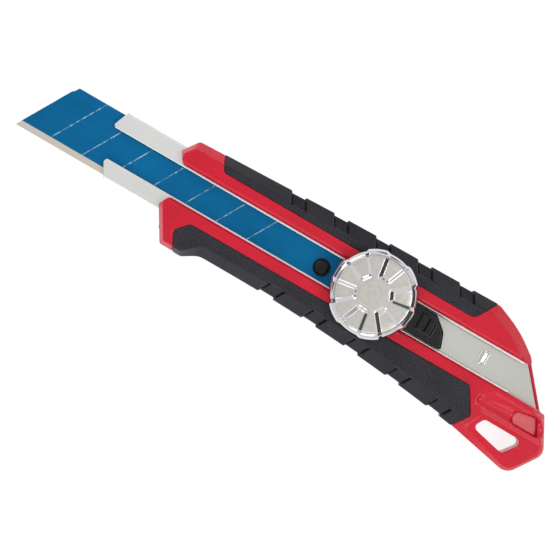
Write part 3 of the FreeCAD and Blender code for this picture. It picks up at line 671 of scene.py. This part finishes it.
# %% Profiles of the wheel
hub_low = wheel_low.z / MM
top = wheel_high.z / MM
under = top - 7.7
RADIUS = (wheel_high.x - wheel_low.x) / 2 / MM
stud_low, stud_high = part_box("lock_stud")
STUD_HEAD = (stud_high.x - stud_low.x) / 2 / MM
UNDERSIDE = [
    (RADIUS - 2.0, under),
    (10.6, under + 0.3),
    (10.4, under + 1.8),
    (6.6, under + 1.8),
    (6.2, under + 0.4),
    (5.9, under),
    (4.3, under),
    (4.28, hub_low),
    (2.6, hub_low),
    (2.56, hub_low + 0.1),
    (2.56, under + 1.9),
    (STUD_HEAD + 0.05, under + 1.9),
    (STUD_HEAD + 0.05, stud_high.z / MM + 0.05),
    (0.0, stud_high.z / MM + 0.05),
]
RAISED = [
    (0.0, top),
    (2.2, top),
    (4.5, top),
    (4.8, top),
    (5.5, top),
    (5.9, top),
    (6.6, top),
    (7.4, top),
    (8.2, top),
    (9.0, top),
    (9.8, top),
    (10.6, top),
    (10.92, top - 0.04),
    (11.05, top - 0.2),
    (11.12, top - 0.48),
    (11.5, top - 0.58),
    (12.3, top - 1.1),
    (12.75, top - 1.7),
    (RADIUS - 0.04, top - 2.4),
    (RADIUS, top - 3.2),
    (RADIUS, under + 1.0),
    (RADIUS - 0.08, under + 0.5),
    (RADIUS - 0.35, under + 0.1),
    (RADIUS - 0.8, under),
] + UNDERSIDE
SUNK = [
    (0.0, top),
    (2.2, top),
    (4.5, top),
    (4.75, top - 0.1),
    (5.6, top - 0.75),
    (5.9, top - 0.85),
    (6.6, top - 0.85),
    (7.4, top - 0.85),
    (8.2, top - 0.85),
    (9.0, top - 0.86),
    (9.8, top - 0.88),
    (10.5, top - 0.93),
    (10.9, top - 1.0),
    (11.02, top - 1.06),
    (11.08, top - 1.2),
    (11.4, top - 1.3),
    (12.0, top - 1.75),
    (12.35, top - 2.3),
    (RADIUS - 0.52, top - 3.0),
    (RADIUS - 0.5, top - 3.7),
    (RADIUS - 0.5, under + 1.0),
    (RADIUS - 0.56, under + 0.5),
    (RADIUS - 0.75, under + 0.1),
    (RADIUS - 1.1, under),
] + UNDERSIDE
WEDGES = 6
WHEEL_DISC = 4.5
HALF_LOBE = math.radians(15.0)
FIRST_LOBE = math.radians(8.8)
WALL_STEPS = [(-0.95, 1.0), (-0.62, 1.0), (-0.4, 0.88), (0.4, 0.12), (0.62, 0.0), (0.95, 0.0)]
print("profile of", len(RAISED), "points, radius", round(RADIUS, 2), "mm")


# %% One wedge of the wheel
def wedge_columns(radius):
    """(angle, share of the raised profile) across one wedge, at this radius."""
    inner = max(radius, WHEEL_DISC)
    wall = [(HALF_LOBE + math.asin(away / inner), share) for away, share in WALL_STEPS]
    half = [(0.0, 1.0), (wall[0][0] / 2, 1.0)] + wall
    half += [((wall[-1][0] + 2 * HALF_LOBE) / 2, 0.0), (2 * HALF_LOBE, 0.0)]
    return [(-angle, share) for angle, share in reversed(half[1:])] + half


def wheel_wedge():
    """Open wedge of the wheel as a grid of columns (angles) and rows (profile points)."""
    work = bmesh.new()
    rows = []
    for (raised_r, raised_z), (sunk_r, sunk_z) in zip(RAISED, SUNK):
        row = []
        for angle, share in wedge_columns((raised_r + sunk_r) / 2):
            radius = raised_r * share + sunk_r * (1 - share)
            height = raised_z * share + sunk_z * (1 - share)
            place = Vector((radius * math.cos(angle), radius * math.sin(angle), height))
            row.append(work.verts.new(place * MM))
        rows.append(row)
    for outer, inner in zip(rows[1:], rows):
        for i in range(len(outer) - 1):
            work.faces.new((inner[i], outer[i], outer[i + 1], inner[i + 1]))
    bmesh.ops.remove_doubles(work, verts=work.verts, dist=1e-7)
    mesh = bpy.data.meshes.new("wheel_wedge")
    work.to_mesh(mesh)
    work.free()
    return mesh


print("wedge", len(wheel_wedge().polygons), "faces")

# %% [markdown]
# #### Turning one wedge into a wheel
# Geometry Nodes do the indexing. Points on one spot carry a copy of the wedge each, every copy is
# turned a step further, and the seams are welded before the surface is subdivided, so the wheel is
# one closed skin. The same tree would make a wheel with more lobes if its inputs were changed.


# %% Tree that repeats a wedge round an axis
def add_input(tree, name, kind, value):
    socket = tree.interface.new_socket(name, in_out="INPUT", socket_type="NodeSocket" + kind)
    if value is not None:
        socket.default_value = value
    return socket.identifier


def new_tree(name):
    """Empty Geometry Nodes tree with a geometry input and output."""
    tree = bpy.data.node_groups.new(name, "GeometryNodeTree")
    tree.interface.new_socket("Geometry", in_out="INPUT", socket_type="NodeSocketGeometry")
    tree.interface.new_socket("Geometry", in_out="OUTPUT", socket_type="NodeSocketGeometry")
    return tree, tree.nodes.new("NodeGroupInput"), tree.nodes.new("NodeGroupOutput")


def link_up(tree, *pairs):
    for output, target in pairs:
        tree.links.new(output, target)


def round_the_axis():
    """Tree: copies of its input turned about Z, welded, subdivided and given a material."""
    tree, start, end = new_tree("round_the_axis")
    keys = {
        "Copies": add_input(tree, "Copies", "Int", 6),
        "Turn": add_input(tree, "Turn", "Float", 1.0),
        "Weld": add_input(tree, "Weld", "Float", 0.00001),
        "Level": add_input(tree, "Level", "Int", 2),
        "Finish": add_input(tree, "Finish", "Material", None),
    }
    make = tree.nodes.new
    points, index = make("GeometryNodePoints"), make("GeometryNodeInputIndex")
    angle = make("ShaderNodeMath")
    turned, copies = make("ShaderNodeCombineXYZ"), make("GeometryNodeInstanceOnPoints")
    real, weld = make("GeometryNodeRealizeInstances"), make("GeometryNodeMergeByDistance")
    smooth, shade = make("GeometryNodeSubdivisionSurface"), make("GeometryNodeSetShadeSmooth")
    paint_all = make("GeometryNodeSetMaterial")
    angle.operation = "MULTIPLY"
    link_up(
        tree,
        (start.outputs["Copies"], points.inputs["Count"]),
        (index.outputs[0], angle.inputs[0]),
        (start.outputs["Turn"], angle.inputs[1]),
        (angle.outputs[0], turned.inputs["Z"]),
        (points.outputs[0], copies.inputs["Points"]),
        (start.outputs["Geometry"], copies.inputs["Instance"]),
        (turned.outputs[0], copies.inputs["Rotation"]),
        (copies.outputs[0], real.inputs[0]),
        (real.outputs[0], weld.inputs["Geometry"]),
        (start.outputs["Weld"], weld.inputs["Distance"]),
        (weld.outputs[0], smooth.inputs["Mesh"]),
        (start.outputs["Level"], smooth.inputs["Level"]),
        (smooth.outputs[0], shade.inputs["Geometry"]),
        (shade.outputs[0], paint_all.inputs["Geometry"]),
        (start.outputs["Finish"], paint_all.inputs["Material"]),
        (paint_all.outputs[0], end.inputs[0]),
    )
    return tree, keys


def grown_by(tree, keys, mesh, **values):
    """The mesh that a Geometry Nodes tree makes from this one, with these inputs."""

    def growing(carrier):
        modifier = carrier.modifiers.new("tree", "NODES")
        modifier.node_group = tree
        for name, value in values.items():
            modifier[keys[name]] = value

    return evaluated(mesh, growing)


# %% Make the wheel
round_tree, round_keys = round_the_axis()
turn_each = math.tau / WEDGES
wheel_mesh = grown_by(
    round_tree, round_keys, wheel_wedge(), Copies=WEDGES, Turn=turn_each, Level=2, Finish=WHEEL
)
first_raised = FIRST_LOBE + 3 * HALF_LOBE
to_axis = Matrix.Translation((wheel_axis.x, wheel_axis.y, 0))
wheel_mesh.transform(to_axis @ Matrix.Rotation(first_raised, 4, "Z"))
wheel = finished(wheel_mesh, "lock_wheel_cast", "wheel", "wheel_metal", WHEEL, "lock_wheel")
print(wheel.name, len(wheel.data.polygons), "faces")

# %% [markdown]
# ### Table
# The knife lies on its back, so the table is at the bottom of its box, a hair lower so that the two
# faces don't flicker against each other.

# %% Table top
TABLE_SIZE = 6.0
TABLE_GAP = 0.1 * MM
bpy.ops.mesh.primitive_plane_add(size=TABLE_SIZE, location=(0, 0, cad_box[0][2] - TABLE_GAP))
table = bpy.context.object
table.name = "table"
table.data.materials.append(TABLE)
